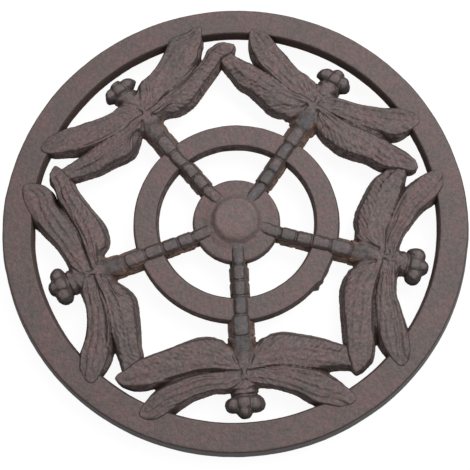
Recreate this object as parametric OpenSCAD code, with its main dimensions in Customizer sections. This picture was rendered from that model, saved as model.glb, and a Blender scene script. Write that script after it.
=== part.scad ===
// Openwork cast iron trivet. Five dragonflies stand between a round rim, an inner ring and
// a hub. Their heads point outwards, their fore wings rest on the rim, each right hind wing
// laps over the wing of the next dragonfly, and their bodies run over the ring to the hub.
// Five cast legs under the wing tips stand in rubber caps.
// Millimetres, Z up. The origin is on the table, under the middle of the hub.

/* [Rim] */
// Outside diameter of the rim
rim_d = 200; // [190:1:230]
// Width of the rim
rim_w = 13.7; // [12:0.1:16]
// Thickness of the rim
rim_h = 5.5; // [4.8:0.1:6]
// Slope of the rim's outer wall, in degrees
rim_draft = 14; // [6:1:18]
// Slope of every other upright wall of the casting, in degrees
wall_draft = 8; // [4:1:12]
// Rounding of the upper edges of the rim, ring and hub
edge_r = 0.8; // [0.4:0.1:1.2]

/* [Inner ring] */
// Outside diameter of the ring
ring_d = 89.6; // [84:0.2:92]
// Width of the ring
ring_w = 11.4; // [9:0.2:13]
// Thickness of the ring
ring_h = 4.4; // [3.8:0.1:4.8]

/* [Hub] */
// Diameter of the hub's flange
hub_d = 38; // [34:0.5:42]
// Thickness of the flange
hub_h = 4.2; // [3.6:0.1:4.6]
// Diameter of the raised disc in the middle
disc_d = 19.6; // [16:0.2:24]
// Height of the disc above the flange
disc_rise = 2.6; // [2.4:0.1:4]

/* [Wings] */
// Thickness of the fore wings beside the body
wing_h = 5.2; // [4.6:0.1:5.8]
// Height of the fore wing tips above the rim
tip_rise = 1.1; // [0.8:0.1:1.5]
// Step up from the fore wings to the hind wings
hind_step = 0.9; // [0.6:0.1:1.2]
// Rise of a lapping hind wing tip, and dip of the wing that it laps over
lap_step = 0.5; // [0.3:0.1:0.8]
// Lean of the wing walls between the back and the upper edge
wing_lean = 1.3; // [0.8:0.1:1.8]
// Depth of the wing skin between the veins
vein_depth = 0.6; // [0.3:0.1:0.9]
// Turn of the fore wings about the crossing of the wings, in degrees
fore_turn = 1.4; // [0:0.1:2]

/* [Body and head] */
// Greatest width of the body, at the thorax
body_w = 10.4; // [8:0.2:12]
// Height of the body's back above the ring
body_rise = 1.6; // [1.2:0.1:2]
// Lean of the body walls between the back and the upper edge
body_lean = 1.1; // [0.6:0.1:1.6]
// Width of the head over the eyes
head_w = 17.4; // [14:0.2:18.4]
// Height of the head
head_h = 5.7; // [4.8:0.1:6.2]

/* [Legs and caps] */
// Diameter of a leg where it joins the casting
leg_d = 12; // [10:0.2:13]
// Diameter of a leg at its shoulder, and of the cap under it
cap_d = 10.4; // [9:0.1:11]
// Height of a leg from its shoulder to the casting
leg_h = 3; // [2:0.1:6]
// Diameter of the peg that the cap is pushed onto
peg_d = 6.8; // [5:0.1:7.5]
// Length of the peg
peg_h = 4; // [3:0.1:6]
// Thickness of rubber under the peg
cap_floor = 2; // [1.5:0.1:3]
// Chamfer round the cap's lower edge
cap_chamfer = 0.7; // [0.4:0.1:1]
// Play between the peg and its cap
cap_fit = 0.05; // [0.02:0.01:0.1]
// Distance from the rim's outer edge to a leg
leg_margin = 3.5; // [3:0.1:4.5]
// Angle from a dragonfly's head to the leg under its right wing tip, in degrees
leg_angle = 24.6; // [23:0.1:26]

/* [Hidden] */

iron = [0.42, 0.38, 0.37];
dark_iron = [0.36, 0.33, 0.33];
rubber = [0.11, 0.11, 0.12];

flies = 5;
fly_step = 360 / flies;

rim_r = rim_d / 2;
open_r = rim_r - rim_w;
ring_r = ring_d / 2;
disc_r = disc_d / 2;
hind_h = wing_h + hind_step;
body_h = ring_h + body_rise;
head_z_turn = 180;
shoulder_z = cap_floor + peg_h;
back_z = shoulder_z + leg_h;
leg_place_r = rim_r - leg_margin - leg_d / 2;

// Facets of turned parts, of the lobes of the head, and of a rounded edge
turn_facets = 180;
lobe_facets = 16;
edge_step = 45;
// Stations along a wing
wing_stations = 10;
// Thickness of the slices that carry the body's cross sections
slice_t = 0.2;
// Distance by which the body starts inside the hub's disc
run_in = 1.5;

// Half a right fore wing, from the body out to the tip on the rim. Each row is a station:
// leading edge x and y, trailing edge x and y, as shares of the opening's radius, and how
// much of the climb onto the rim is done.
fore_wing_shares = [
    [0.000, 0.835, 0.000, 0.730, 0.00],
    [0.090, 0.843, 0.110, 0.728, 0.00],
    [0.205, 0.868, 0.232, 0.733, 0.10],
    [0.295, 0.914, 0.340, 0.754, 0.45],
    [0.385, 0.978, 0.424, 0.800, 0.90],
    [0.460, 0.985, 0.482, 0.862, 1.00],
    [0.500, 0.945, 0.494, 0.900, 0.85]
];
// Right hind wing, which laps over its neighbour: the last column is the share of lap_step
// by which it rises.
hind_wing_shares = [
    [0.000, 0.770, 0.000, 0.648, 0.00],
    [0.065, 0.757, 0.060, 0.636, 0.00],
    [0.150, 0.754, 0.117, 0.596, 0.00],
    [0.245, 0.762, 0.215, 0.588, 0.00],
    [0.345, 0.786, 0.330, 0.626, 0.20],
    [0.440, 0.818, 0.440, 0.662, 0.60],
    [0.528, 0.818, 0.528, 0.696, 1.00],
    [0.580, 0.796, 0.578, 0.716, 1.00],
    [0.604, 0.768, 0.598, 0.738, 0.70]
];
// Left hind wing, measured to the left, which dips and ends against the wing that laps over it
low_wing_shares = [
    [0.000, 0.770, 0.000, 0.648, 0.00],
    [0.065, 0.757, 0.060, 0.636, 0.00],
    [0.150, 0.752, 0.117, 0.596, 0.00],
    [0.245, 0.758, 0.215, 0.584, -0.20],
    [0.345, 0.773, 0.330, 0.613, -0.60],
    [0.440, 0.785, 0.440, 0.653, -1.00],
    [0.545, 0.790, 0.545, 0.695, -1.00]
];
// Top of a wing across its chord: place from the leading to the trailing edge, and how much
// of vein_depth it lies below the highest vein
vein_shares = [
    [0.00, 1.0],
    [0.06, 0.2],
    [0.14, 0.0],
    [0.23, 0.9],
    [0.38, 1.0],
    [0.45, 0.4],
    [0.52, 1.1],
    [0.68, 1.2],
    [0.75, 0.6],
    [0.83, 1.3],
    [1.00, 2.0]
];
// Most of a wing's chord that one leaning wall may take, and the bulge in that wall
lean_limit_share = 0.3;
wall_in_share = 0.35;
wall_up_share = 0.6;

// Body from the hub's disc to the crossing of the wings: place along it, width as a share of
// body_w, height as a share of body_h. The waists between the segments are the narrow rows.
body_shares = [
    [0.00, 0.56, 0.93],
    [0.09, 0.60, 0.90],
    [0.15, 0.68, 0.87],
    [0.19, 0.80, 0.92],
    [0.24, 0.68, 0.83],
    [0.29, 0.80, 0.92],
    [0.35, 0.69, 0.84],
    [0.40, 0.75, 0.93],
    [0.46, 0.66, 0.90],
    [0.53, 0.82, 1.00],
    [0.60, 0.84, 0.94],
    [0.63, 0.80, 0.87],
    [0.67, 1.00, 1.03],
    [0.73, 1.00, 1.05],
    [0.79, 0.80, 0.95],
    [0.84, 0.94, 1.09],
    [0.90, 0.86, 1.14],
    [0.96, 0.58, 1.13],
    [1.00, 0.36, 1.07]
];
cross_share = 0.780;
cross_r = cross_share * open_r;
// Height of the body's and head's shoulders under their rounded tops
round_share = 0.45;
round_step = 45;
dome_step = 30;

// Head: place of the eyes from the middle, and each lobe as x, y, radius as shares of head_w,
// and height as a share of head_h
head_share = 0.914;
eye_shares = [0.285, 0, 0.215, 1];
brow_shares = [0, 0.160, 0.180, 0.88];
crown_shares = [0, -0.040, 0.220, 0.98];
collar_shares = [0.175, -0.360, 0.170, 1.02];
lobe_lean_share = 0.25;

// A point on the smooth curve through the rows of a table, from its first row at 0 to its
// last at 1
function curve(rows, t) =
    let (
        spans = len(rows) - 1,
        i = min(floor(t * spans), spans - 1),
        u = t * spans - i,
        a = rows[max(i - 1, 0)],
        b = rows[i],
        c = rows[i + 1],
        d = rows[min(i + 2, spans)]
    )
    b + (c - a) * u / 2
      + (2 * a - 5 * b + 4 * c - d) * pow(u, 2) / 2
      + (3 * b - a - 3 * c + d) * pow(u, 3) / 2;

// Outline of a cast bar that runs round the middle: flat back, leaning walls, rounded edges
function bar_outline(r_in, r_out, h, in_draft, out_draft) =
    concat(
        [[r_in, 0], [r_out, 0]],
        round_edge(r_out - h * tan(out_draft) - edge_r, h - edge_r, 0),
        round_edge(r_in + h * tan(in_draft) + edge_r, h - edge_r, 90)
    );

// A quarter of a circle of edge_r about a point, starting at an angle
function round_edge(x, z, start) =
    [for (a = [start : edge_step : start + 90]) [x + edge_r * cos(a), z + edge_r * sin(a)]];

// One cross section of a wing: up the leading wall, over the veins, down the trailing wall
function wing_section(row, h) =
    let (
        lead = [row[0], row[1]] * open_r,
        trail = [row[2], row[3]] * open_r,
        chord = norm(trail - lead),
        along = (trail - lead) / chord,
        lean = min(wing_lean, chord * lean_limit_share),
        top = chord - 2 * lean,
        wall_h = h * wall_up_share
    )
    concat(
        [up(lead, 0), up(lead + along * lean * wall_in_share, wall_h)],
        [for (v = vein_shares) up(lead + along * (lean + top * v[0]), h - vein_depth * v[1])],
        [up(trail - along * lean * wall_in_share, wall_h), up(trail, 0)]
    );

// A point of a plan lifted to a height
function up(p, z) = [p[0], p[1], z];

// Sections of a wing closer together towards its tip. A wing has a height at its root, and
// a climb that the last column of its table takes up by shares.
function wing_sections(rows, root_h, climb) =
    [
        for (i = [0 : wing_stations])
            let (row = curve(rows, sin(90 * i / wing_stations)))
            wing_section(row, root_h + climb * row[4])
    ];

// Outline of a cross section of the body: flat back, leaning walls and a round top
function body_outline(half_w, h) =
    let (shoulder = h * round_share)
    concat(
        [[half_w, 0]],
        [for (a = [0 : round_step : 180])
            [(half_w - body_lean) * cos(a), shoulder + (h - shoulder) * sin(a)]],
        [[-half_w, 0]]
    );

// Skin over a row of rings of points, closed by the first and the last ring
module loft(rings) {
    n = len(rings[0]);
    last = len(rings) - 1;
    sides = [
        for (i = [0 : last - 1], j = [0 : n - 1])
            let (k = (j + 1) % n, a = i * n, b = (i + 1) * n)
            each [[a + j, b + j, b + k], [a + j, b + k, a + k]]
    ];
    near_end = [for (j = [0 : n - 1]) j];
    far_end = [for (j = [n - 1 : -1 : 0]) last * n + j];
    polyhedron([for (ring = rings) each ring], concat(sides, [near_end, far_end]));
}

module turned(outline) {
    rotate_extrude($fn = turn_facets) polygon(outline);
}

module rim_form() {
    turned(bar_outline(open_r, rim_r, rim_h, wall_draft, rim_draft));
}

module ring_form() {
    turned(bar_outline(ring_r - ring_w, ring_r, ring_h, wall_draft, wall_draft));
}

module hub_form() {
    flange_top_r = hub_d / 2 - hub_h * tan(wall_draft) - edge_r;
    disc_top = hub_h + disc_rise;
    turned(concat(
        [[0, 0], [hub_d / 2, 0]],
        round_edge(flange_top_r, hub_h - edge_r, 0),
        [[disc_r, hub_h]],
        round_edge(disc_r - disc_rise * tan(wall_draft) - edge_r, disc_top - edge_r, 0),
        [[0, disc_top]]
    ));
}

module fore_wing() {
    loft(wing_sections(fore_wing_shares, wing_h, rim_h + tip_rise - wing_h));
}

module lapping_wing() {
    loft(wing_sections(hind_wing_shares, hind_h, lap_step));
}

module low_wing() {
    mirror([1, 0, 0]) loft(wing_sections(low_wing_shares, hind_h, lap_step));
}

// Body in segments, each stretched between two cross sections
module body() {
    start = disc_r - run_in;
    reach = cross_r - start;
    for (i = [0 : len(body_shares) - 2])
        hull() {
            body_slice(body_shares[i], start, reach);
            body_slice(body_shares[i + 1], start, reach);
        }
}

module body_slice(row, start, reach) {
    translate([0, start + reach * row[0], 0])
        rotate([90, 0, 0])
            linear_extrude(slice_t, center = true)
                polygon(body_outline(body_w / 2 * row[1], body_h * row[2]));
}

// A round lobe of the head, leaning in to a domed top
module lobe(shares) {
    r = head_w * shares[2];
    h = head_h * shares[3];
    shoulder = h * round_share;
    lean = r * lobe_lean_share;
    dome = [for (a = [0 : dome_step : 90])
        [(r - lean) * cos(a), shoulder + (h - shoulder) * sin(a)]];
    translate([head_w * shares[0], head_w * shares[1], 0])
        hull()
            rotate_extrude($fn = lobe_facets)
                polygon(concat([[0, 0], [r, 0]], dome));
}

module both_sides() {
    children();
    mirror([1, 0, 0]) children();
}

module head() {
    translate([0, head_share * open_r, 0]) {
        both_sides() lobe(eye_shares);
        lobe(brow_shares);
        lobe(crown_shares);
        hull() both_sides() lobe(collar_shares);
    }
}

// One dragonfly with its head along +Y, cut by what it joins and by the wing that laps over
module dragonfly_form() {
    difference() {
        union() {
            translate([0, cross_r, 0])
                rotate(fore_turn)
                    translate([0, -cross_r, 0])
                        both_sides() fore_wing();
            lapping_wing();
            low_wing();
            body();
            head();
        }
        rim_form();
        ring_form();
        hub_form();
        rotate(fly_step) lapping_wing();
    }
}

// Turns a piece made along +Y to its place in the round, the first one to the front
module place(k) {
    rotate(head_z_turn + fly_step * (k - 1)) children();
}

module on_legs() {
    translate([0, 0, back_z]) children();
}

module outer_rim() {
    color(iron) on_legs() rim_form();
}

module inner_ring() {
    color(iron) on_legs() ring_form();
}

module hub() {
    color(iron) on_legs() hub_form();
}

module dragonfly(k) {
    color(dark_iron) place(k) on_legs() dragonfly_form();
}

// A leg and its cap stand under the right wing tip of their dragonfly
module under_tip(k) {
    place(k) rotate(-leg_angle) translate([0, leg_place_r, 0]) children();
}

module leg(k) {
    color(iron) under_tip(k) {
        translate([0, 0, shoulder_z]) cylinder(h = leg_h, d1 = cap_d, d2 = leg_d, $fn = turn_facets);
        translate([0, 0, cap_floor]) cylinder(h = peg_h, d = peg_d, $fn = turn_facets);
    }
}

module foot_cap(k) {
    cap_r = cap_d / 2;
    bore_r = peg_d / 2 + cap_fit;
    color(rubber) under_tip(k) turned([
        [0, 0],
        [cap_r - cap_chamfer, 0],
        [cap_r, cap_chamfer],
        [cap_r, shoulder_z],
        [bore_r, shoulder_z],
        [bore_r, cap_floor],
        [0, cap_floor]
    ]);
}

outer_rim();
inner_ring();
hub();
dragonfly(1);  // dragonfly_1
dragonfly(2);  // dragonfly_2
dragonfly(3);  // dragonfly_3
dragonfly(4);  // dragonfly_4
dragonfly(5);  // dragonfly_5
leg(1);  // leg_1
leg(2);  // leg_2
leg(3);  // leg_3
leg(4);  // leg_4
leg(5);  // leg_5
foot_cap(1);  // foot_cap_1
foot_cap(2);  // foot_cap_2
foot_cap(3);  // foot_cap_3
foot_cap(4);  // foot_cap_4
foot_cap(5);  // foot_cap_5
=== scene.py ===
import math
import bmesh
import bpy
from mathutils import Matrix, Vector


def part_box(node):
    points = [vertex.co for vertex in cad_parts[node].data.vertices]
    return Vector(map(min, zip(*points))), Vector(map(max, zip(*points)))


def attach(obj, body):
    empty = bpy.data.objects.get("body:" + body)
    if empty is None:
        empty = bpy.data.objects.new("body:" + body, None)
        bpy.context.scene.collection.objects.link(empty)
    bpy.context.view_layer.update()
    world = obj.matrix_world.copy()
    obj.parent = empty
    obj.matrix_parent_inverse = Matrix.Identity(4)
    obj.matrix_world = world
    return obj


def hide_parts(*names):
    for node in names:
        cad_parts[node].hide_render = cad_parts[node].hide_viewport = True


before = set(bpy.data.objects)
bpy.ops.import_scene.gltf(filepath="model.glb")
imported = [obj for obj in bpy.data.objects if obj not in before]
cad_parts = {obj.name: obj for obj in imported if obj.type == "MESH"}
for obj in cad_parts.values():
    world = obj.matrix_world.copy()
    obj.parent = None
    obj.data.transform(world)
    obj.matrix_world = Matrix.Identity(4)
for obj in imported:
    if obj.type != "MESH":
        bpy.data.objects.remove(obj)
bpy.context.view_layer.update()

# Outer rim
# A broad flat band of sand-cast iron with leaning walls and soft upper edges, cast in one pour
# with everything inside it. A thin brown-grey coat is baked on, with painted shade on its inner walls and
# painted light on its outer walls.
mm = 0.001
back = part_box("outer_rim")[0].z
rim_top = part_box("outer_rim")[1].z
rim_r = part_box("outer_rim")[1].x
rim_width = 13.5 * mm
rim_lean = math.radians(14)
rim_inner_lean = math.radians(4)


def only(piece):
    """Selects one piece and makes it the one that is worked on."""
    bpy.ops.object.select_all(action="DESELECT")
    piece.select_set(True)
    bpy.context.view_layer.objects.active = piece


def apply_place(piece):
    """Puts a piece's place, turn and size into its mesh, so that its object sits at the origin."""
    only(piece)
    bpy.ops.object.transform_apply(location=True, rotation=True, scale=True)


def pick(kind, test):
    """In edit mode, selects the corners, edges or faces whose middle passes a test."""
    bpy.ops.mesh.select_mode(type=kind)
    bpy.ops.mesh.select_all(action="DESELECT")
    mesh = bpy.context.object.data
    shape = bmesh.from_edit_mesh(mesh)
    for part in {"VERT": shape.verts, "EDGE": shape.edges, "FACE": shape.faces}[kind]:
        corners = [part] if kind == "VERT" else part.verts
        middle = sum((corner.co for corner in corners), Vector()) / len(corners)
        if test(middle):
            part.select_set(True)
    bmesh.update_edit_mesh(mesh)


def face_outwards():
    """In edit mode, merges doubled corners and turns every face outwards."""
    bpy.ops.mesh.select_mode(type="VERT")
    bpy.ops.mesh.select_all(action="SELECT")
    touching = 0.002 * mm
    bpy.ops.mesh.remove_doubles(threshold=touching)
    bpy.ops.mesh.normals_make_consistent(inside=False)


def add_modifier(piece, kind, **settings):
    """Adds a modifier with its settings to a piece and applies it."""
    only(piece)
    bpy.ops.object.modifier_add(type=kind)
    modifier = piece.modifiers[-1]
    for name, value in settings.items():
        setattr(modifier, name, value)
    bpy.ops.object.modifier_apply(modifier=modifier.name)


def cast_band(name, inner_r, outer_r, top, inner_lean, outer_lean, cuts):
    """A band round the middle: a standing plane with leaning sides and rounded upper corners, spun."""
    height = top - back
    middle_r = (inner_r + outer_r) / 2
    middle_z = (back + top) / 2
    edge = 0.9 * mm
    spin_step = 0.75 * mm
    upright = (math.pi / 2, 0, 0)
    bpy.ops.object.select_all(action="DESELECT")
    bpy.ops.mesh.primitive_plane_add(size=1, location=(middle_r, 0, middle_z), rotation=upright)
    band = bpy.context.object
    band.name = name
    bpy.ops.transform.resize(value=(outer_r - inner_r, 1, height))
    apply_place(band)
    bpy.ops.object.mode_set(mode="EDIT")
    pick("VERT", lambda p: p.z > middle_z and p.x > middle_r)
    bpy.ops.transform.translate(value=(-height * math.tan(outer_lean), 0, 0))
    pick("VERT", lambda p: p.z > middle_z and p.x < middle_r)
    bpy.ops.transform.translate(value=(height * math.tan(inner_lean), 0, 0))
    pick("VERT", lambda p: p.z > middle_z)
    bpy.ops.mesh.bevel(offset=edge, segments=4, affect="VERTICES")
    bpy.ops.mesh.select_all(action="SELECT")
    bpy.ops.mesh.delete(type="ONLY_FACE")
    pick("EDGE", lambda p: abs(p.x - middle_r) < edge and p.z > middle_z)
    bpy.ops.mesh.subdivide(number_cuts=cuts)
    pick("EDGE", lambda p: abs(p.x - middle_r) < edge and p.z < middle_z)
    bpy.ops.mesh.subdivide(number_cuts=cuts // 2)
    pick("EDGE", lambda p: back < p.z < top - edge)
    bpy.ops.mesh.subdivide(number_cuts=cuts // 3)
    bpy.ops.mesh.select_all(action="SELECT")
    steps = round(math.tau * outer_r / spin_step)
    bpy.ops.mesh.spin(steps=steps, angle=math.tau, center=(0, 0, 0), axis=(0, 0, 1))
    face_outwards()
    bpy.ops.object.mode_set(mode="OBJECT")
    return band


def sand_skin(piece, pebble):
    """Gives a piece the long waves and the small pebbles that the mould's sand leaves."""
    for wave, depth in ((16 * mm, 0.30 * mm), (3.5 * mm, 0.16 * mm), (1.2 * mm, pebble)):
        sand = bpy.data.textures.new("mould_sand", "CLOUDS")
        sand.noise_scale = wave
        add_modifier(
            piece, "DISPLACE", texture=sand, texture_coords="GLOBAL", strength=depth, mid_level=0.5
        )
    only(piece)
    bpy.ops.object.shade_smooth()


def new_material(name):
    """An empty node material with a Principled BSDF: its nodes, links and shader."""
    material = bpy.data.materials.new(name)
    material.use_nodes = True
    nodes = material.node_tree.nodes
    return material, nodes, material.node_tree.links, nodes["Principled BSDF"]


def add_node(nodes, kind, **settings):
    """A shader node of one kind, with its settings."""
    node = nodes.new(kind)
    for name, value in settings.items():
        setattr(node, name, value)
    return node


def new_group(name, inputs, outputs):
    """An empty node group with named sockets: its tree, its input node and its output node."""
    group = bpy.data.node_groups.new(name, "ShaderNodeTree")
    for socket, kind, value in inputs:
        made = group.interface.new_socket(socket, in_out="INPUT", socket_type="NodeSocket" + kind)
        made.default_value = value
    for socket, kind in outputs:
        group.interface.new_socket(socket, in_out="OUTPUT", socket_type="NodeSocket" + kind)
    return group, group.nodes.new("NodeGroupInput"), group.nodes.new("NodeGroupOutput")


def feed(links, socket, value):
    """Gives an input its value: the output of another node, or a plain number or colour."""
    if isinstance(value, bpy.types.NodeSocket):
        links.new(value, socket)
    else:
        socket.default_value = value


def blend_colours(nodes, links, share, first, second, mode="MIX"):
    """Mixes two colours by a share."""
    mix = add_node(nodes, "ShaderNodeMix", data_type="RGBA", blend_type=mode)
    feed(links, mix.inputs[0], share)
    feed(links, mix.inputs[6], first)
    feed(links, mix.inputs[7], second)
    return mix.outputs[2]


def reckon(nodes, links, operation, *values):
    """One step of arithmetic."""
    step = add_node(nodes, "ShaderNodeMath", operation=operation)
    for socket, value in zip(step.inputs, values):
        feed(links, socket, value)
    return step.outputs[0]


def ramp(nodes, links, value, low, high, to_low=0.0, to_high=1.0):
    """Maps a value from low..high to to_low..to_high with a soft start and end."""
    step = add_node(nodes, "ShaderNodeMapRange", interpolation_type="SMOOTHSTEP")
    for socket, number in zip(step.inputs[1:5], (low, high, to_low, to_high)):
        socket.default_value = number
    links.new(value, step.inputs[0])
    return step.outputs[0]


def noise(nodes, links, place, size, detail=3.0, rough=0.55):
    """Cloudy noise whose blotches are about the given size across."""
    cloud = nodes.new("ShaderNodeTexNoise")
    cloud.inputs["Scale"].default_value = 1 / size
    cloud.inputs["Detail"].default_value = detail
    cloud.inputs["Roughness"].default_value = rough
    links.new(place, cloud.inputs["Vector"])
    return cloud.outputs["Fac"]


def multiply(nodes, links, *shares):
    """The product of two or more mask sockets."""
    product = shares[0]
    for share in shares[1:]:
        product = reckon(nodes, links, "MULTIPLY", product, share)
    return product


def directions(nodes, links, vector):
    """The X, Y and Z of a vector socket."""
    split = nodes.new("ShaderNodeSeparateXYZ")
    links.new(vector, split.inputs[0])
    return split.outputs


def make_mottled_coat():
    """Group: the coat's colour, drifting between two tones in blotches, with fine dark specks."""
    group, entry, leave = new_group(
        "mottled_coat",
        [
            ("Place", "Vector", (0, 0, 0)),
            ("Warm", "Color", (0.182, 0.118, 0.115, 1)),
            ("Cool", "Color", (0.132, 0.113, 0.107, 1)),
            ("Speck depth", "Float", 0.3),
            ("Pebble depth", "Float", 0.1),
        ],
        [("Colour", "Color"), ("Speck", "Float")],
    )
    nodes, links = group.nodes, group.links
    place = entry.outputs["Place"]
    broad = ramp(nodes, links, noise(nodes, links, place, 14 * mm), 0.36, 0.64)
    small = ramp(nodes, links, noise(nodes, links, place, 3.2 * mm, detail=4.0), 0.36, 0.64)
    half_small = reckon(nodes, links, "MULTIPLY", small, 0.5)
    share = reckon(nodes, links, "MULTIPLY_ADD", broad, 0.5, half_small)
    coat = blend_colours(nodes, links, share, entry.outputs["Warm"], entry.outputs["Cool"])
    speck = ramp(nodes, links, noise(nodes, links, place, 0.7 * mm, detail=2.0), 0.30, 0.52, 1.0, 0.0)
    deep = reckon(nodes, links, "MULTIPLY", speck, entry.outputs["Speck depth"])
    pebbly = noise(nodes, links, place, 1.5 * mm, detail=4.0, rough=0.7)
    pebble = ramp(nodes, links, pebbly, 0.34, 0.66, -1.0, 1.0)
    tone = reckon(nodes, links, "MULTIPLY_ADD", pebble, entry.outputs["Pebble depth"], 1)
    pebbled = blend_colours(nodes, links, 1.0, coat, tone, "MULTIPLY")
    speck_brown = (0.045, 0.036, 0.034, 1)
    links.new(blend_colours(nodes, links, deep, pebbled, speck_brown), leave.inputs["Colour"])
    links.new(speck, leave.inputs["Speck"])
    return group


def make_sand_grain():
    """Group: the height of the fine grain that sand leaves on a casting or a mould on rubber."""
    group, entry, leave = new_group(
        "sand_grain",
        [("Place", "Vector", (0, 0, 0)), ("Grain", "Float", 2200.0), ("Pits", "Float", 0.6)],
        [("Height", "Float")],
    )
    nodes, links = group.nodes, group.links
    grain = entry.outputs["Grain"]
    fine = nodes.new("ShaderNodeTexNoise")
    fine.inputs["Detail"].default_value = 3
    pits = nodes.new("ShaderNodeTexVoronoi")
    for texture, scale in ((fine, grain), (pits, reckon(nodes, links, "MULTIPLY", grain, 0.4))):
        links.new(entry.outputs["Place"], texture.inputs["Vector"])
        links.new(scale, texture.inputs["Scale"])
    height = reckon(
        nodes, links, "MULTIPLY_ADD", pits.outputs["Distance"], entry.outputs["Pits"], fine.outputs["Fac"]
    )
    links.new(height, leave.inputs["Height"])
    return group


def make_shade_and_slope_masks():
    """Group: masks of hollows and fine creases, found by occlusion, where shade is painted in, and of
    sloping edges and walls, where a coat gathers or thins.
    """
    group, entry, leave = new_group(
        "shade_and_slope_masks",
        [("Reach", "Float", 2.8 * mm), ("Crease reach", "Float", 1.1 * mm)],
        [("Hollow", "Float"), ("Crease", "Float"), ("Edge", "Float"), ("Wall", "Float")],
    )
    nodes, links = group.nodes, group.links
    for reach, mask, low, high in (("Reach", "Hollow", 0.38, 0.84), ("Crease reach", "Crease", 0.5, 0.95)):
        shade = add_node(nodes, "ShaderNodeAmbientOcclusion", samples=10)
        links.new(entry.outputs[reach], shade.inputs["Distance"])
        links.new(ramp(nodes, links, shade.outputs["AO"], low, high, 1.0, 0.0), leave.inputs[mask])
    normal = nodes.new("ShaderNodeNewGeometry").outputs["Normal"]
    level = reckon(nodes, links, "ABSOLUTE", directions(nodes, links, normal)["Z"])
    links.new(ramp(nodes, links, level, 0.78, 0.985, 1.0, 0.0), leave.inputs["Edge"])
    links.new(ramp(nodes, links, level, 0.22, 0.50, 1.0, 0.0), leave.inputs["Wall"])
    return group


def make_wing_lines():
    """Group: fine lines that fan over the wings from their roots, by a pattern's own marks of place.
    Their number doubles where the wings are broad."""
    group, entry, leave = new_group(
        "wing_lines", [("Place", "Vector", (0, 0, 0))], [("Height", "Float"), ("Furrow", "Float")])
    nodes, links = group.nodes, group.links
    place = entry.outputs["Place"]
    wing_root = 63 * mm
    drawn = add_node(nodes, "ShaderNodeAttribute", attribute_name="pattern_place").outputs["Vector"]
    plan = directions(nodes, links, drawn)
    across = reckon(nodes, links, "ABSOLUTE", plan["X"])
    out = reckon(nodes, links, "SUBTRACT", plan["Y"], wing_root)
    bearing = reckon(nodes, links, "ARCTAN2", out, across)
    strayed = reckon(nodes, links, "MULTIPLY_ADD", noise(nodes, links, place, 7 * mm), 0.16, bearing)
    fans = []
    for count, at_root, at_tip in ((46, 1.0, 0.0), (92, 0.0, 1.0)):
        wave = reckon(nodes, links, "SINE", reckon(nodes, links, "MULTIPLY", strayed, count))
        reach = ramp(nodes, links, across, 12 * mm, 26 * mm, at_root, at_tip)
        fans.append(multiply(nodes, links, wave, reach))
    both = reckon(nodes, links, "ADD", *fans)
    beyond_body = ramp(nodes, links, across, 3.5 * mm, 7 * mm)
    broken = ramp(nodes, links, noise(nodes, links, place, 4 * mm), 0.36, 0.60)
    height = multiply(nodes, links, both, beyond_body, broken)
    links.new(reckon(nodes, links, "MULTIPLY", height, 0.5), leave.inputs["Height"])
    links.new(ramp(nodes, links, height, -0.9, -0.2, 0.22, 0.0), leave.inputs["Furrow"])
    return group


mottled_coat = make_mottled_coat()
sand_grain = make_sand_grain()
shade_and_slope_masks = make_shade_and_slope_masks()
wing_lines = make_wing_lines()


def use_group(nodes, links, group, place=None, **values):
    """Puts a node group in a material, with its own values, on Object coordinates where it needs them."""
    node = add_node(nodes, "ShaderNodeGroup", node_tree=group)
    if place:
        links.new(place, node.inputs["Place"])
    for name, value in values.items():
        node.inputs[name.replace("_", " ")].default_value = value
    return node


def painted(nodes, name):
    """The share that is painted on a piece under a name."""
    return add_node(nodes, "ShaderNodeAttribute", attribute_name=name).outputs["Fac"]


def from_axis(nodes, links, place):
    """How far a place lies from the upright line through the trivet's middle."""
    plan = directions(nodes, links, place)
    flat = nodes.new("ShaderNodeCombineXYZ")
    links.new(plan["X"], flat.inputs["X"])
    links.new(plan["Y"], flat.inputs["Y"])
    length = add_node(nodes, "ShaderNodeVectorMath", operation="LENGTH")
    links.new(flat.outputs[0], length.inputs[0])
    return length.outputs["Value"]


def roughen(nodes, links, shader, heights, strength, depth):
    """Gives a material its fine relief."""
    bump = nodes.new("ShaderNodeBump")
    bump.inputs["Strength"].default_value = strength
    bump.inputs["Distance"].default_value = depth
    links.new(heights, bump.inputs["Height"])
    links.new(bump.outputs[0], shader.inputs["Normal"])


# The coat's colours on edges and on walls under a thick and a thin coat; painted shade on the rim's inner
# walls and painted light on its outer walls;
# painted shade with some dirt in creases and hollows; and rusty patches. A patterned piece has some of its
# own.
edge_brown = (0.058, 0.045, 0.042, 1)
wall_browns = ((0.080, 0.053, 0.048, 1), (0.170, 0.125, 0.120, 1))
rim_inner_wall_shade = (0.082, 0.051, 0.042, 1)
rim_outer_wall_light = (0.205, 0.192, 0.196, 1)
crease_shade_brown = (0.052, 0.031, 0.026, 1)
hollow_shade_brown = (0.052, 0.030, 0.025, 1)
bare_rust = (0.100, 0.050, 0.026, 1)
pattern_wall_browns = ((0.105, 0.072, 0.066, 1), (0.225, 0.165, 0.158, 1))
furrow_brown = (0.070, 0.048, 0.044, 1)
crown_grey = (0.096, 0.095, 0.101, 1)
breast_brown = (0.066, 0.056, 0.054, 1)
face_grey = (0.140, 0.128, 0.130, 1)
flank_scales = ((0.105, 0.068, 0.056, 1), (0.250, 0.145, 0.105, 1))
jowl_brown = (0.060, 0.047, 0.045, 1)


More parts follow.
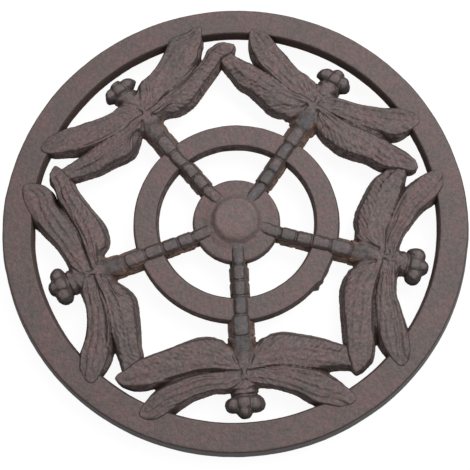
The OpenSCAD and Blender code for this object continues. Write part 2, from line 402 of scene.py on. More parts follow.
def rub_tops(nodes, links, place, smudge, tops, heights):
    """Draws the wing lines on a patterned piece, and wears its crown, breast and face in patches."""
    lines = use_group(nodes, links, wing_lines, place)
    tops = blend_colours(nodes, links, lines.outputs["Furrow"], tops, furrow_brown)
    heights = reckon(nodes, links, "ADD", heights, lines.outputs["Height"])
    for mark, low, high, least, most, colour in (
        ("crown", 0.38, 0.56, 0.0, 0.95, crown_grey),
        ("breast", 0.38, 0.58, 0.95, 0.2, breast_brown),
        ("face", 0.36, 0.6, 0.0, 0.7, face_grey),
    ):
        patches = ramp(nodes, links, smudge, low, high, least, most)
        worn = multiply(nodes, links, painted(nodes, mark), patches)
        tops = blend_colours(nodes, links, worn, tops, colour)
    return tops, heights


def coat_walls(nodes, links, middle_r, smudge, shade_and_slopes, edges, patterned):
    """Colours the walls: painted shade on the rim's inner walls and painted light on its outer walls, with
    rusty scale on a patterned piece's flanks and dark under its face.
    """
    thick_coat, thin_coat = pattern_wall_browns if patterned else wall_browns
    stain = ramp(nodes, links, smudge, 0.38, 0.56)
    inner_coat = blend_colours(nodes, links, stain, thick_coat, thin_coat)
    # Painted shade on the rim's inner walls and painted light on its outer walls: they are coloured darker
    # and paler than the coat.
    beside_rim = ramp(nodes, links, middle_r, 83 * mm, 86 * mm)
    rim_shade_and_coat = blend_colours(nodes, links, beside_rim, inner_coat, rim_inner_wall_shade)
    outside = ramp(nodes, links, middle_r, 95.5 * mm, 97.5 * mm)
    wall_coat_light_shade = blend_colours(nodes, links, outside, rim_shade_and_coat, rim_outer_wall_light)
    walls = blend_colours(nodes, links, shade_and_slopes["Wall"], edges, wall_coat_light_shade)
    if patterned:
        scale = blend_colours(nodes, links, ramp(nodes, links, smudge, 0.44, 0.56), *flank_scales)
        leaning = ramp(nodes, links, shade_and_slopes["Edge"], 0.1, 0.6, 0.15, 0.9)
        sides = multiply(nodes, links, painted(nodes, "flank"), leaning)
        walls = blend_colours(nodes, links, sides, walls, scale)
        jowl = multiply(nodes, links, painted(nodes, "face"), shade_and_slopes["Edge"])
        walls = blend_colours(nodes, links, jowl, walls, jowl_brown)
    return walls


def coated_iron(name, pebbles, rust, edging, patterned):
    """Brown-grey baked coat on sand-cast iron, dark at its edges, with painted shade and some dirt in its
    creases and hollows, and rusty in its hollows. A patterned piece carries painted marks of its wear, and
    its seams take less of the painted shade."""
    material, nodes, links, shader = new_material(name)
    place = nodes.new("ShaderNodeTexCoord").outputs["Object"]
    coat = use_group(nodes, links, mottled_coat, place, Speck_depth=0.2, Pebble_depth=pebbles).outputs
    shade_and_slopes = use_group(nodes, links, shade_and_slope_masks).outputs
    heights = use_group(nodes, links, sand_grain, place, Grain=1300.0, Pits=0.7).outputs["Height"]
    middle_r = from_axis(nodes, links, place)
    smudge = noise(nodes, links, place, 2.4 * mm, detail=4.0, rough=0.6)

    # The hub's disc is coloured paler, and the band towards the rim a little darker.
    disc_brightening = ramp(nodes, links, middle_r, 8 * mm, 9 * mm, 1.16, 1.0)
    outer_dimming = ramp(nodes, links, middle_r, 62 * mm, 88 * mm, 1.0, 0.93)
    radial_tone = multiply(nodes, links, disc_brightening, outer_dimming)
    tops = blend_colours(nodes, links, 1.0, coat["Colour"], radial_tone, "MULTIPLY")
    if patterned:
        tops, heights = rub_tops(nodes, links, place, smudge, tops, heights)
    edge_share = ramp(nodes, links, shade_and_slopes["Edge"], 0.0, 1.0, 0.0, edging)
    edges = blend_colours(nodes, links, edge_share, tops, edge_brown)
    colour = coat_walls(nodes, links, middle_r, smudge, shade_and_slopes, edges, patterned)
    deepest = 0.75 if patterned else 1.0
    # Painted shade, with some dirt: the creases and hollows that occlusion finds are darkened brown.
    for mask, brown in (("Crease", crease_shade_brown), ("Hollow", hollow_shade_brown)):
        share = ramp(nodes, links, shade_and_slopes[mask], 0.0, 1.0, 0.0, deepest)
        if patterned:
            # Along the seams most of the painted shade of creases and hollows is taken away.
            shade_kept = ramp(nodes, links, painted(nodes, "seam"), 0.0, 1.0, 1.0, 0.1)
            share = multiply(nodes, links, share, shade_kept)
        colour = blend_colours(nodes, links, share, colour, brown)
    patch = ramp(nodes, links, noise(nodes, links, place, 5 * mm, detail=4.0), 0.44, 0.60, 0.0, rust)
    near_ring = ramp(nodes, links, middle_r, 56 * mm, 80 * mm, 1.0, 0.4)
    bare = multiply(nodes, links, patch, near_ring, shade_and_slopes["Hollow"])
    links.new(blend_colours(nodes, links, bare, colour, bare_rust), shader.inputs["Base Color"])

    gloss = ramp(nodes, links, coat["Speck"], 0.0, 1.0, 0.60, 0.80)
    links.new(reckon(nodes, links, "MAXIMUM", gloss, shade_and_slopes["Wall"]), shader.inputs["Roughness"])
    roughen(nodes, links, shader, heights, strength=0.9, depth=0.3 * mm)
    shader.inputs["Metallic"].default_value = 0.0
    shader.inputs["Specular IOR Level"].default_value = 0.33
    return material


plain_iron = coated_iron("coated_iron", pebbles=0.12, rust=0.7, edging=1.0, patterned=False)


def dress(piece, node, material):
    """Gives a piece its material, hides the part it stands in for, and attaches it to what it moves with.
    """
    piece.data.materials.clear()
    piece.data.materials.append(material)
    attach(piece, "root")
    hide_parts(node)


def push(piece, stretches):
    """Pushes stretches of a piece sideways in its plan, and what lies round them follows softly."""
    only(piece)
    bpy.ops.object.mode_set(mode="EDIT")
    for start, end, across, out, reach in stretches:
        first, last = Vector(start) * mm, Vector(end) * mm
        span = last - first
        span_square = max(span.length_squared, mm * mm * mm)
        grip = 0.35 * reach * mm

        def held(p):
            share = min(max((p.xy - first).dot(span) / span_square, 0), 1)
            return (p.xy - first - span * share).length < grip

        pick("VERT", held)
        bpy.ops.transform.translate(
            value=(across * mm, out * mm, 0), use_proportional_edit=True,
            proportional_edit_falloff="SMOOTH", proportional_size=reach * mm,
        )
    bpy.ops.object.mode_set(mode="OBJECT")


# Where the rim isn't quite round: a stretch from one point to another, how far it is pushed to the
# right and to the back, and how far round the push reaches, in millimetres.
rim_pushes = [
    ((-84, 0), (-76, 36), 0.4, -0.1, 9), ((-99, -10), (-99, 10), -0.3, 0, 9),
    ((99, -10), (99, 10), 0.35, 0, 9),
]
rim = cast_band("rim_casting", rim_r - rim_width, rim_r, rim_top, rim_inner_lean, rim_lean, cuts=18)
push(rim, rim_pushes)
sand_skin(rim, pebble=0.12 * mm)
dress(rim, "outer_rim", plain_iron)

# Inner ring
# A narrower flat band of the same iron, cast with the rim, that the dragonflies' bodies cross. All
# that lies inside the rim sits a little off the rim's middle, as the photograph shows.
cast_shift = Vector((0.4 * mm, -1.9 * mm, 0))
wall_lean = math.radians(8)
ring_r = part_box("inner_ring")[1].x
ring_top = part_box("inner_ring")[1].z
ring_width = 11.4 * mm
ring_shrink = 0.35 * mm
ring_shift = Vector((0, 0.2 * mm, 0))
# A burr that is left on the ring's outer edge, as pushes like the rim's.
ring_burr = [
    ((37.8, -26.6), (35.4, -29.6), 0.35, -0.3, 2.4), ((34.7, -30.4), (33.7, -31.5), 0.5, -0.45, 2.0),
    ((32.5, -32.7), (32.2, -33.0), 0.6, -0.8, 1.4),
]
ring = cast_band(
    "ring_casting", ring_r - ring_width, ring_r - ring_shrink, ring_top, wall_lean, wall_lean, cuts=15
)
ring.location = cast_shift + ring_shift
apply_place(ring)
push(ring, ring_burr)
sand_skin(ring, pebble=0.12 * mm)
dress(ring, "inner_ring", plain_iron)

# Hub
# A round flange of the same iron with a raised disc, where the five bodies end. Its slopes are soft,
# as cast, and its disc's colour is made paler.
hub_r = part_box("hub")[1].x
flange_top = back + 4.2 * mm
flange_taper = 0.965
# From the flange's edge inwards: how wide each step of the top is, and how far it rises.
hub_steps = ((4.9 * mm, 0.0), (0.8 * mm, 0.45 * mm), (1.4 * mm, 0.1 * mm), (2.6 * mm, 1.7 * mm))


def rebuild(piece, voxel, rounds):
    """Makes a piece one even skin, as a wax pattern rubbed down: its edges and joins go soft."""
    add_modifier(piece, "REMESH", mode="VOXEL", voxel_size=voxel)
    add_modifier(piece, "SMOOTH", factor=0.5, iterations=rounds)


bpy.ops.object.select_all(action="DESELECT")
bpy.ops.mesh.primitive_cylinder_add(
    vertices=160, radius=hub_r, depth=flange_top - back, location=(0, 0, (flange_top + back) / 2)
)
hub = bpy.context.object
hub.name = "hub_casting"
apply_place(hub)
bpy.ops.object.mode_set(mode="EDIT")
pick("FACE", lambda p: p.z > flange_top - 0.01 * mm)
bpy.ops.transform.resize(value=(flange_taper, flange_taper, 1))
for width, rise in hub_steps:
    bpy.ops.mesh.inset(thickness=width)
    bpy.ops.transform.translate(value=(0, 0, rise))
face_outwards()
bpy.ops.object.mode_set(mode="OBJECT")
hub.location = cast_shift
apply_place(hub)
rebuild(hub, voxel=0.35 * mm, rounds=26)
sand_skin(hub, pebble=0.16 * mm)
hub_iron = coated_iron("hub_iron", pebbles=0.12, rust=0.7, edging=0.45, patterned=False)
dress(hub, "hub", hub_iron)

# Dragonflies
# Each is cast with its neighbours: a domed head, two fore wings that climb onto the rim, two hind
# wings above them, and a jointed body that runs over the ring to the hub.
fly_voxel = 0.38 * mm
cross_y = 67.3 * mm
fore_turn = math.radians(-1.4)
fly_back = back + 0.15 * mm
lap_back = back + 0.30 * mm

# Each row is a slice of a wing: distance from the body's middle, then how far out the leading and
# the trailing edge lie, then the height above the casting's back, all in millimetres.
fore_rows = [
    (0, 72.1, 63.0, 5.3), (8, 72.8, 62.8, 5.4), (14, 73.9, 62.9, 5.4), (20, 76.0, 63.3, 5.5),
    (26, 79.2, 64.3, 5.8), (30, 82.0, 65.3, 6.1), (34, 83.9, 67.2, 6.1), (38, 84.4, 70.1, 6.1),
    (41, 83.5, 73.6, 6.0), (43, 81.6, 77.2, 5.9), (43.6, 80.4, 79.0, 5.8),
]
lapping_rows = [
    (0, 66.5, 55.9, 5.4), (5, 65.2, 55.1, 5.5), (8, 64.6, 53.2, 5.7), (11, 64.4, 51.3, 5.9),
    (15, 64.5, 50.6, 6.1), (19, 64.8, 50.8, 6.1), (24, 65.8, 52.2, 6.1), (29, 67.0, 53.9, 6.2),
    (34, 68.6, 55.5, 6.3), (38, 69.8, 56.8, 6.4), (42, 70.3, 58.3, 6.5), (46, 69.8, 60.0, 6.6),
    (50, 68.0, 61.7, 6.5), (51.6, 66.2, 63.2, 6.4), (52.2, 65.2, 64.2, 6.2),
]
low_rows = [
    (0, 66.5, 55.9, 5.4), (5, 65.2, 55.1, 5.5), (8, 64.6, 53.2, 5.7), (11, 64.2, 51.3, 5.9),
    (15, 64.5, 50.5, 6.1), (19, 64.9, 50.5, 6.0), (24, 65.7, 51.6, 5.9), (29, 66.5, 52.8, 5.8),
    (34, 66.7, 54.4, 5.7), (38, 66.6, 56.0, 5.6), (43, 66.7, 57.9, 5.6), (47, 67.0, 59.6, 5.6),
]


# The head's lumps: place, half widths and height above the back. Then the body's joints from the
# hub outwards: where each starts and ends, its half width, how far its foot spreads and its height.
head_lumps = [
    (4.2, 78.1, 3.6, 3.4, 5.3), (-4.2, 78.1, 3.6, 3.4, 5.3), (0, 80.6, 3.0, 3.1, 5.2),
    (0, 77.6, 4.2, 3.9, 6.0), (0, 73.5, 5.2, 2.3, 5.4), (0, 70.6, 4.2, 3.2, 5.8),
]
joint_round = 1.5
joint_shoulder = 0.7
body_joints = [
    (6.8, 20.4, 2.8, 1.3, 5.3), (19.4, 27.2, 2.9, 1.5, 5.8), (26.1, 34.2, 2.9, 1.6, 5.9),
    (33.1, 42.2, 3.0, 1.5, 6.1), (41.1, 51.2, 3.4, 2.2, 6.2), (50.2, 58.0, 4.2, 1.5, 6.2),
    (56.0, 64.6, 3.2, 1.4, 6.2), (61.0, 69.0, 2.1, 1.3, 6.1),
]

# Lines drawn over the right half of the wax, in millimetres: raised ribs and sunk furrows.
ribs = [
    [(2.0, 68.8), (9, 71.0), (18, 73.0), (28, 77.8), (39, 82.2)],
    [(2.5, 67.2), (11, 68.6), (21, 71.2), (31, 75.4), (40, 79.6)],
    [(4.0, 66.0), (13, 66.4), (23, 68.8), (32, 72.6), (39, 77.0)],
    [(2.0, 63.6), (9, 63.0), (20, 64.2), (33, 67.6), (49, 67.4)],
    [(2.5, 62.2), (10, 60.4), (20, 60.8), (32, 63.0), (47, 65.2)],
    [(3.5, 60.8), (9, 58.0), (17, 57.4), (28, 58.9), (40, 62.0)],
]
furrows = [
    [(0.4, 66.2), (8, 65.6), (17, 65.8), (27, 67.4), (36, 70.2)],
    [(2.2, 68.0), (10, 69.8), (20, 72.2), (30, 76.6), (40, 81.0)],
    [(2.2, 62.8), (10, 61.7), (20, 62.5), (32, 65.4), (48, 66.4)],
    [(2.3, 80.6), (2.9, 79.4), (3.1, 78.0), (3.0, 76.8), (3.6, 75.8)],
    [(7, 64.8), (14, 64.8), (22, 65.8), (29, 67.4), (36, 69.8)],
]
deep_furrows = [
    [(1.2, 65.0), (2.7, 61.6), (3.9, 58.2), (4.6, 55.0), (4.9, 52.6)],
    [(0, 74.9), (2, 74.9), (3.8, 74.7), (5.2, 74.4), (6.8, 74.2)],
    [(0, 67.8), (1.6, 69.0), (3.2, 70.2), (5.0, 71.2), (7.5, 71.9)],
]
joint_lines = [
    [(0, y), (0.9, y - 0.05), (1.8, y - 0.25), (2.6, y - 0.6), (3.5, y - 1.2)]
    for y in (19.8, 26.6, 33.4, 41.4, 50.4)
]
flank_lines = [
    [(2.95, 14), (3.0, 17), (3.0, 20), (3.0, 23), (3.05, 27)],
    [(3.05, 26), (3.1, 30), (3.15, 34), (3.2, 37), (3.3, 41)],
    [(3.6, 42), (3.8, 44), (3.9, 46), (3.9, 48), (3.9, 50)],
]
trailing_edges = [[(7, 55.3), (13, 52.0), (20, 51.9), (29, 54.4), (38, 57.6)]]
# The deep seam where a hind wing runs along the fore wing in front of it.
wing_seams = [[(2.6, 62.6), (9, 62.9), (18, 63.8), (26, 65.4), (32, 67.5)]]
fan_root = (3.2, 61.2)
fan_ends = [(7.0, 57.0), (9.0, 55.3), (11.4, 54.0), (14.2, 53.1), (17.2, 52.8), (20.4, 53.4)]


def fan(root, ends):
    """Strokes that spread from one root and bend towards their ends, like a feather's first barbs."""
    steps = (0.2, 0.4, 0.6, 0.8, 1)
    return [
        [(root[0] + (end[0] - root[0]) * t, root[1] + (end[1] - root[1]) * t**1.4) for t in steps]
        for end in ends
    ]


def along(rows, share):
    """A point on the smooth curve through the rows of a table, from its first row to its last."""
    spans = len(rows) - 1
    i = min(int(share * spans), spans - 1)
    u = share * spans - i
    a, b, c, d = rows[max(i - 1, 0)], rows[i], rows[i + 1], rows[min(i + 2, spans)]
    return [
        q + (r - p) * u / 2 + (2 * p - 5 * q + 4 * r - s) * u * u / 2 + (3 * q - p - 3 * r + s) * u**3 / 2
        for p, q, r, s in zip(a, b, c, d)
    ]


def draw_out_wing(rows, low, side):
    """A wing drawn out from a slice at the body: at each station the slice moves on and is stretched
    to the wing's breadth and height."""
    lean = 1.3 * mm
    corner = 0.6 * mm
    stations = 34
    x, lead, trail, height = [value * mm for value in rows[0]]
    top = back + height
    bpy.ops.object.select_all(action="DESELECT")
    bpy.ops.mesh.primitive_plane_add(
        size=1, location=(x, (lead + trail) / 2, (low + top) / 2), rotation=(0, math.pi / 2, 0)
    )
    wing = bpy.context.object
    bpy.ops.transform.resize(value=(1, lead - trail, top - low))
    apply_place(wing)
    bpy.ops.object.mode_set(mode="EDIT")
    pick("VERT", lambda p: p.z > (low + top) / 2)
    bpy.ops.transform.resize(value=(1, 1 - 2 * lean / (lead - trail), 1))
    bpy.ops.mesh.bevel(offset=corner, segments=2, affect="VERTICES")
    bpy.ops.mesh.select_all(action="SELECT")
    for i in range(1, stations + 1):
        was = (x, lead, trail, top)
        x, lead, trail, height = [value * mm for value in along(rows, math.sin(math.pi / 2 * i / stations))]
        top = back + height
        step = (side * (x - was[0]), (lead + trail - was[1] - was[2]) / 2, 0)
        bpy.ops.mesh.extrude_region_move(TRANSFORM_OT_translate={"value": step})
        bpy.ops.transform.resize(
            value=(1, (lead - trail) / (was[1] - was[2]), (top - low) / (was[3] - low)),
            center_override=(side * x, (lead + trail) / 2, low),
        )
    face_outwards()
    bpy.ops.object.mode_set(mode="OBJECT")
    return wing


def swell(x, y, half_x, half_y, top, spread=0.7, stretch=0.0, shoulder=0.5):
    """A round-topped lump on a wider foot: half a ball, its outer half pulled on, with a drawn skirt."""
    x, y, half_x, half_y = x * mm, y * mm, half_x * mm, half_y * mm
    top = back + top * mm
    waist = fly_back + (top - fly_back) * shoulder
    bpy.ops.object.select_all(action="DESELECT")
    bpy.ops.mesh.primitive_uv_sphere_add(segments=32, ring_count=16, radius=1, location=(x, y, waist))
    lump = bpy.context.object
    bpy.ops.transform.resize(value=(half_x, half_y, top - waist))
    apply_place(lump)
    bpy.ops.object.mode_set(mode="EDIT")
    bpy.ops.mesh.select_all(action="SELECT")
    bpy.ops.mesh.bisect(plane_co=(x, y, waist), plane_no=(0, 0, 1), clear_inner=True)
    pick("EDGE", lambda p: abs(p.z - waist) < 0.001 * mm)
    bpy.ops.mesh.extrude_region_move(TRANSFORM_OT_translate={"value": (0, 0, fly_back - waist)})
    foot = ((half_x + spread * mm) / half_x, (half_y + 0.4 * spread * mm) / half_y, 1)
    bpy.ops.transform.resize(value=foot, center_override=(x, y, fly_back))
    bpy.ops.mesh.edge_face_add()
    pick("VERT", lambda p: p.y > y + 0.001 * mm)
    bpy.ops.transform.translate(value=(0, stretch * mm, 0))
    face_outwards()
    bpy.ops.object.mode_set(mode="OBJECT")
    return lump


def trace(points):
    """A drawn line over the dragonfly, as a path through five points of its plan, in millimetres."""
    bpy.ops.object.select_all(action="DESELECT")
    bpy.ops.curve.primitive_nurbs_path_add()
    line = bpy.context.object
    path = line.data.splines[0]
    path.order_u = 3
    above = back + 12 * mm
    for point, (x, y) in zip(path.points, points):
        point.co = (x * mm, y * mm, above, 1)
    bpy.ops.object.convert(target="MESH")
    return bpy.context.object


def join(pieces, name):
    """Joins pieces into one of the given name."""
    only(pieces[0])
    for piece in pieces:
        piece.select_set(True)
    if len(pieces) > 1:
        bpy.ops.object.join()
    pieces[0].name = name
    return pieces[0]


def raise_lines(piece, lines, reach, lift, direction):
    """Lifts a piece's skin along drawn lines, or sinks it where lift is below zero."""
    drawn = join([trace(points) for points in lines], "drawn_lines")
    add_modifier(
        drawn, "SHRINKWRAP", target=piece, wrap_method="PROJECT", use_project_z=True,
        use_negative_direction=True, use_positive_direction=False,
    )
    only(piece)
    near = piece.vertex_groups.new(name="near_lines")
    near.add(range(len(piece.data.vertices)), 1.0, "REPLACE")
    add_modifier(
        piece, "VERTEX_WEIGHT_PROXIMITY", vertex_group="near_lines", target=drawn,
        proximity_mode="GEOMETRY", proximity_geometry={"EDGE"}, min_dist=reach, max_dist=0.0,
        falloff_type="SMOOTH",
    )
    add_modifier(
        piece, "DISPLACE", vertex_group="near_lines", strength=lift, mid_level=0.0, direction=direction
    )
    piece.vertex_groups.clear()
    bpy.data.objects.remove(drawn)


def both_sides(lines):
    """The lines, and the same lines mirrored to the dragonfly's other side."""
    return lines + [[(-x, y) for x, y in line] for line in lines]


def barbs(rows, first, last, pitch, rise, back_set, inset):
    """Short strokes that fan from a wing's middle out to its trailing edge, like a feather's barbs."""
    lines = []
    x = first
    while x < last:
        beyond = next(i for i, row in enumerate(rows) if row[0] > x)
        a, b = rows[beyond - 1], rows[beyond]
        trail = a[2] + (b[2] - a[2]) * (x - a[0]) / (b[0] - a[0])
        start = (x - back_set, trail + rise)
        end = (x, trail + inset)
        lines.append([
            (start[0] + (end[0] - start[0]) * t, start[1] + (end[1] - start[1]) * t**1.5)
            for t in (0, 0.25, 0.5, 0.75, 1)
        ])
        x += pitch
    return lines


def fade(value, start, end):
    """A share that grows softly from 0 at one place to 1 at the other, both in millimetres."""
    share = min(max((value - start * mm) / ((end - start) * mm), 0), 1)
    return share * share * (3 - 2 * share)


def paint(piece, name, share):
    """Marks a piece's skin with a share from 0 to 1 by place, for its material to read."""
    marks = piece.data.attributes.new(name, "FLOAT", "POINT").data
    for corner in piece.data.vertices:
        marks[corner.index].value = share(corner.co)


def off_seam(p):
    """How far a point lies from the seam between two wings, which curves outwards like a bow."""
    root = 62.6 * mm
    curve_per_m = 4.6
    return abs(p.y - root - curve_per_m * p.x * p.x)


def model_dragonfly():
    """The wax pattern of one dragonfly, its head along +Y."""
    fore = [draw_out_wing(fore_rows, fly_back, side) for side in (1, -1)]
    for wing in fore:
        only(wing)
        bpy.ops.transform.rotate(value=fore_turn, orient_axis="Z", center_override=(0, cross_y, 0))
        apply_place(wing)
    lumps = [swell(x, y, half_x, half_y, top) for x, y, half_x, half_y, top in head_lumps]
    lumps += [
        swell(
            0, start + joint_round, half, joint_round, top,
            spread=foot, stretch=end - start - 2 * joint_round, shoulder=joint_shoulder,
        )
        for start, end, half, foot, top in body_joints
    ]
    pieces = fore + [draw_out_wing(lapping_rows, lap_back, 1), draw_out_wing(low_rows, fly_back, -1)]
    fly = join(pieces + lumps, "dragonfly_pattern")
    rebuild(fly, fly_voxel, rounds=6)
    strokes = barbs(lapping_rows, first=22, last=46, pitch=2.1, rise=6.4, back_set=5.2, inset=1.8)
    # Lines, how far beside them the wax is worked, how far it is lifted and which way, in millimetres.
    relief = (
        (trailing_edges, 4.6, -1.1, "Z"),
        (ribs, 1.3, 0.36, "NORMAL"),
        (furrows, 0.9, -0.17, "NORMAL"),
        (deep_furrows, 1.0, -0.40, "NORMAL"),
        (strokes + fan(fan_root, fan_ends), 0.8, 0.17, "NORMAL"),
        (joint_lines, 0.7, -0.45, "NORMAL"),
        (flank_lines, 0.75, -0.3, "NORMAL"),
    )
    for lines, reach, lift, direction in relief:
        raise_lines(fly, both_sides(lines), reach * mm, lift * mm, direction)
    marks = fly.data.attributes.new("pattern_place", "FLOAT_VECTOR", "POINT").data
    for corner in fly.data.vertices:
        marks[corner.index].vector = corner.co
    paint(fly, "crown", lambda p: fade(abs(p.x), 3.5, 2.7) * fade(p.y, 62, 54))
    paint(fly, "flank", lambda p: fade(abs(p.x), 2.7, 3.4) * fade(abs(p.x), 6.6, 5.2) * fade(p.y, 60, 53))
    paint(fly, "breast", lambda p: fade(abs(p.x), 6.0, 4.0) * fade(p.y, 48.5, 51) * fade(p.y, 61, 57))
    # A share along the wings' seams, where the painted shade of creases and hollows is taken away.
    paint(fly, "seam", lambda p: fade(off_seam(p), 3.4, 1.8) * fade(abs(p.x), 32, 22))
    paint(fly, "face", lambda p: fade(abs(p.x), 9.6, 8.6) * fade(p.y, 73.6, 75.2))
    return fly


# How each of the five was bent by hand before casting: a stretch of it from one point to another,
# how far that was pushed (across and outwards) and how far round the push reaches, in millimetres.
pushes = [
    [
        ((-14, 53), (-39, 58), 0, -2.2, 8), ((14, 53), (40, 58), 0, -2.0, 8),
        ((6, 55), (6.5, 55), 0.3, -1.9, 5), ((-6, 55), (-6, 55), 0, -1.9, 5),
        ((17, 74.5), (27, 77.5), 0, -1.6, 9), ((9, 71.5), (13, 72.2), 0, 0.6, 7),
        ((-27, 77), (-22, 75), 0, 0.6, 9), ((-9, 71), (-18, 73.5), 0, -0.9, 7),
        ((36, 79), (41, 82), -0.5, -1.3, 8), ((-36, 80), (-41, 80.5), -0.5, -0.8, 7),
        ((-2, 78.5), (2, 78.5), 0.7, -0.9, 7), ((4, 44), (4, 50), 0.6, 0, 4),
    ],
    [
        ((15, 53), (20, 53.5), 0, -1.3, 8), ((32, 56.5), (41, 58.5), 0, -1.4, 8),
        ((-9, 53.5), (-31, 56.5), 0, -2.5, 8), ((0, 44), (0, 50), 0.7, 0, 8),
        ((0, 22), (0, 30), 0.8, 0, 9), ((-9, 70.5), (-9, 70.5), 0, -2.1, 7),
        ((-20, 73.5), (-22, 74), 0, -1.1, 8), ((24, 75), (26, 76), 0, 0.8, 8),
        ((49, 65), (49, 65), -1.9, -1.2, 6), ((-2, 78.5), (2, 78.5), -0.4, 0.1, 7),
        ((6, 55), (6, 55), 0.3, -1.7, 5), ((-5.5, 55), (-5.5, 55), -0.1, -1.9, 5),
        ((9, 71.5), (11, 72), 0, -0.6, 6),
    ],
    [
        ((44, 62), (44, 62), 1.4, -3.7, 14), ((24, 55), (24, 55), 0, -1.5, 8),
        ((28, 56), (40, 59), 0, -0.8, 6), ((6, 55), (6, 55), 1.0, -1.2, 4),
        ((-5.5, 55), (-5.5, 55), -0.4, -1.9, 3.5), ((0, 44), (0, 50), 0.8, 0, 8),
        ((0, 22), (0, 30), 0.7, 0, 8), ((-20, 74), (-18, 73.4), 0, 1.6, 9),
        ((-8, 70.5), (-8, 70.5), 0, 1.7, 6), ((14, 72.4), (18, 73.4), 0, 0.8, 9),
        ((-2, 79), (2, 79), 0.9, 1.7, 7), ((-42, 64), (-42, 64), 0, -0.4, 6),
        ((-9, 54), (-13, 53.5), 0, -1.1, 6), ((-36, 57), (-43, 59), 0, -1.7, 7),
        ((41, 73), (45, 76), 0, -0.5, 5),
    ],
    [
        ((13, 53.5), (38, 58), 0, 3.1, 9), ((5, 56), (5, 56), 0, 0.9, 5),
        ((-9, 54.5), (-10, 54), 0, 2.3, 5), ((-16, 53.5), (-24, 55), 0, 0.7, 7),
        ((0, 42), (0, 54), -2.1, 0, 9), ((0, 22), (0, 30), -1.2, 0, 9),
        ((-3, 77.5), (3, 77.5), -2.2, 3.0, 8), ((12, 73), (27, 78.5), 0, 5.0, 9),
        ((39, 80), (42, 81), 2.6, 0, 8), ((41, 74), (43, 77), -1.4, 0.8, 6),
        ((-40, 79), (-43, 80), -2.2, -0.6, 8), ((40, 73), (40, 73), 0, -0.6, 5),
        ((49, 64), (49, 64), -1.2, 0.4, 6), ((43, 68), (43, 68), 0, 1.6, 6),
        ((-10, 71), (-20, 74), 0, 1.6, 8),
    ],
    [
        ((11, 54), (34, 57.5), 0, 1.9, 9), ((5.5, 57), (5.5, 57), 0, 1.3, 3.5),
        ((-8, 55), (-10, 54.5), 0, 1.5, 5), ((-18, 54), (-30, 56.5), 0, 0.3, 8),
        ((0, 22), (0, 30), -0.6, 0, 9), ((0, 44), (0, 50), -0.5, 0, 8),
        ((9, 71.5), (20, 75), 0, 0.9, 8), ((-16, 72.5), (-22, 74), 0, -0.9, 8),
        ((-2, 79), (2, 79), 0.2, 0.6, 7), ((39, 78), (42, 80), 4.6, -1.8, 9),
        ((41, 73), (43, 76), 0, -1.3, 5), ((49, 64), (49, 64), -1.3, 0, 6),
        ((-41, 59), (-41, 59), 0, -1.0, 5),
    ],
]


# For each of the five: how far its wings' seams were filled before casting, in millimetres, how
# rubbed its crown is, how rusty its flanks are and how much of the painted shade its seams lose.
wear = [
    (0.5, 0.9, 0.7, 0.2), (0.8, 0.6, 1.0, 0.4), (1.1, 1.0, 0.8, 0.8), (1.1, 0.3, 0.5, 0.8),
    (1.1, 0.5, 1.0, 1.0),
]
seam_reach = 2.4 * mm

pattern = model_dragonfly()
fly_iron = coated_iron("rubbed_iron", pebbles=0.23, rust=1.0, edging=1.0, patterned=True)
for k in range(5):
    only(pattern)
    bpy.ops.object.duplicate()
    fly = bpy.context.object
    fly.name = f"dragonfly_casting_{k + 1}"
    seam_fill, crown_wear, flank_rust, seam_shade_cut = wear[k]
    raise_lines(fly, both_sides(wing_seams), seam_reach, seam_fill * mm, "Z")
    for name, share in (("crown", crown_wear), ("flank", flank_rust), ("seam", seam_shade_cut)):
        for mark in fly.data.attributes[name].data:
            mark.value *= share
    push(fly, pushes[k])
    fly.rotation_euler.z = math.pi + math.tau * k / 5
    fly.location = cast_shift
    apply_place(fly)
    sand_skin(fly, pebble=0.26 * mm)
    dress(fly, f"dragonfly_{k + 1}", fly_iron)
bpy.data.objects.remove(pattern)

# Legs
# Five short round stubs of the same iron, cast on the back of the rim. They taper down to a
# shoulder and a peg that carries a cap.
leg_top_r = 6.0 * mm
shoulder_r = 5.2 * mm
peg_r = 3.4 * mm
shoulder_z = 6 * mm


def turned(name, centre, outline, rounding):
    """A round piece: its half outline of (radius, height) corners, rounded, is spun round its axis."""
    bpy.ops.object.select_all(action="DESELECT")
    bpy.ops.mesh.primitive_circle_add(vertices=len(outline), radius=mm)
    piece = bpy.context.object
    piece.name = name
    for corner, (r, z) in zip(piece.data.vertices, outline):
        corner.co = (r, 0, z)
    bpy.ops.object.mode_set(mode="EDIT")
    pick("VERT", lambda p: p.x > 0.01 * mm)
    bpy.ops.mesh.bevel(offset=rounding, segments=3, affect="VERTICES")
    bpy.ops.mesh.select_all(action="SELECT")
    bpy.ops.mesh.spin(steps=64, angle=math.tau, center=(0, 0, 0), axis=(0, 0, 1))
    face_outwards()
    bpy.ops.object.mode_set(mode="OBJECT")
    piece.location = (centre.x, centre.y, 0)
    apply_place(piece)
    return piece


for k in range(1, 6):
    low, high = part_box(f"leg_{k}")
    leg = turned(
        f"leg_casting_{k}",
        (low + high) / 2,
        [(0, low.z), (peg_r, low.z), (peg_r, shoulder_z), (shoulder_r, shoulder_z), (leg_top_r, back),
         (0, back)],
        rounding=0.35 * mm,
    )
    only(leg)
    bpy.ops.object.shade_smooth_by_angle(angle=math.radians(40))
    dress(leg, f"leg_{k}", plain_iron)

# Caps
# Black moulded rubber caps, pushed onto the legs' pegs so that the iron doesn't scratch the table.
# Their lower edges are worn grey.
bore_r = 3.45 * mm
cap_floor = 2 * mm
rubber_black = (0.014, 0.014, 0.015, 1)
dust_grey = (0.045, 0.044, 0.043, 1)


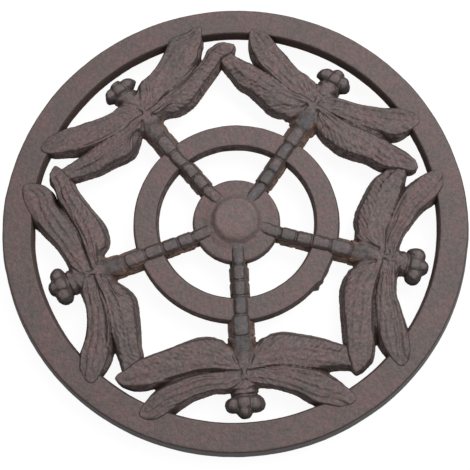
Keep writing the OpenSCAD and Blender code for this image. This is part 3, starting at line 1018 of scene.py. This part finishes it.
def cap_rubber():
    """Matte black moulded rubber, a little dusty, greyer on its worn lower edge."""
    material, nodes, links, shader = new_material("cap_rubber")
    place = nodes.new("ShaderNodeTexCoord").outputs["Object"]
    grain = use_group(nodes, links, sand_grain, place, Grain=4000.0, Pits=0.2)
    height = directions(nodes, links, place)["Z"]
    scuffed = ramp(nodes, links, height, 0.3 * mm, 1.6 * mm, 0.5, 0.0)
    dust = ramp(nodes, links, noise(nodes, links, place, 3 * mm, detail=4.0), 0.4, 0.7, 0.0, 0.5)
    shade = reckon(nodes, links, "MAXIMUM", scuffed, dust)
    links.new(blend_colours(nodes, links, shade, rubber_black, dust_grey), shader.inputs["Base Color"])
    links.new(ramp(nodes, links, shade, 0.0, 0.5, 0.55, 0.8), shader.inputs["Roughness"])
    roughen(nodes, links, shader, grain.outputs["Height"], strength=0.3, depth=0.08 * mm)
    return material


rubber = cap_rubber()
for k in range(1, 6):
    low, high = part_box(f"foot_cap_{k}")
    cap_r = (high.x - low.x) / 2
    cap = turned(
        f"rubber_cap_{k}",
        (low + high) / 2,
        [(0, 0), (cap_r - 0.5 * mm, 0), (cap_r, 0.6 * mm), (cap_r, high.z), (bore_r, high.z),
         (bore_r, cap_floor), (0, cap_floor)],
        rounding=0.3 * mm,
    )
    only(cap)
    bpy.ops.object.shade_smooth_by_angle(angle=math.radians(40))
    dress(cap, f"foot_cap_{k}", rubber)

# Floor, light and camera
# A plain white table top under a broad soft light from above and behind, and a camera that looks
# almost straight down, as the photograph was taken.
floor_size = 60
floor_grey = (0.12, 0.12, 0.12, 1)
floor_glow = 0.93
white = (1, 1, 1, 1)
sky_strength = 0.42
bpy.ops.object.select_all(action="DESELECT")
bpy.ops.mesh.primitive_plane_add(size=floor_size)
floor = bpy.context.object
floor.name = "floor"
material, nodes, links, shader = new_material("white_table")
shader.inputs["Base Color"].default_value = floor_grey
shader.inputs["Roughness"].default_value = 0.9
glow = nodes.new("ShaderNodeEmission")
glow.inputs["Color"].default_value = white
glow.inputs["Strength"].default_value = floor_glow
seen = nodes.new("ShaderNodeLightPath")
view = reckon(nodes, links, "MAXIMUM", seen.outputs["Is Camera Ray"], seen.outputs["Is Glossy Ray"])
sight = reckon(nodes, links, "MAXIMUM", view, seen.outputs["Is Transmission Ray"])
both = nodes.new("ShaderNodeAddShader")
links.new(shader.outputs[0], both.inputs[0])
links.new(glow.outputs[0], both.inputs[1])
choice = nodes.new("ShaderNodeMixShader")
links.new(sight, choice.inputs[0])
links.new(shader.outputs[0], choice.inputs[1])
links.new(both.outputs[0], choice.inputs[2])
links.new(choice.outputs[0], nodes["Material Output"].inputs["Surface"])
floor.data.materials.append(material)

world = bpy.data.worlds.new("studio")
bpy.context.scene.world = world
world.use_nodes = True
sky = world.node_tree.nodes["Background"]
sky.inputs["Color"].default_value = white
sky.inputs["Strength"].default_value = sky_strength

for name, place, size, power in (
    ("lamp_above", (0.38, 0.36, 0.8), 0.7, 6.4),
    ("lamp_side", (0.8, -0.1, 0.9), 0.6, 1.5),
):
    bpy.ops.object.light_add(type="AREA", location=place)
    lamp = bpy.context.object
    lamp.name = name
    lamp.data.size = size
    lamp.data.energy = power
    lamp.rotation_euler = (-Vector(place)).to_track_quat("-Z", "Y").to_euler()

photo_px = 470
focal_px = 906.4
principal_px = (251.27, 234.14)
tilt = math.radians(17.0)
turn = math.radians(2.07)
roll = math.radians(1.10)
aim = Vector((6.48 * mm, -7.18 * mm, back))
distance = 389.1 * mm
bpy.ops.object.camera_add()
camera = bpy.context.object
roll_turn = Matrix.Rotation(-roll, 3, "Z")
view_turn = Matrix.Rotation(-turn, 3, "Z") @ Matrix.Rotation(tilt, 3, "X") @ roll_turn
camera.rotation_euler = view_turn.to_euler()
camera.location = aim + view_turn @ Vector((0, 0, distance))
camera.data.sensor_width = 36
camera.data.lens = camera.data.sensor_width * focal_px / photo_px
camera.data.shift_x = (photo_px / 2 - principal_px[0]) / photo_px
camera.data.shift_y = (principal_px[1] - photo_px / 2) / photo_px
bpy.context.scene.camera = camera
bpy.context.scene.view_settings.view_transform = "Standard"
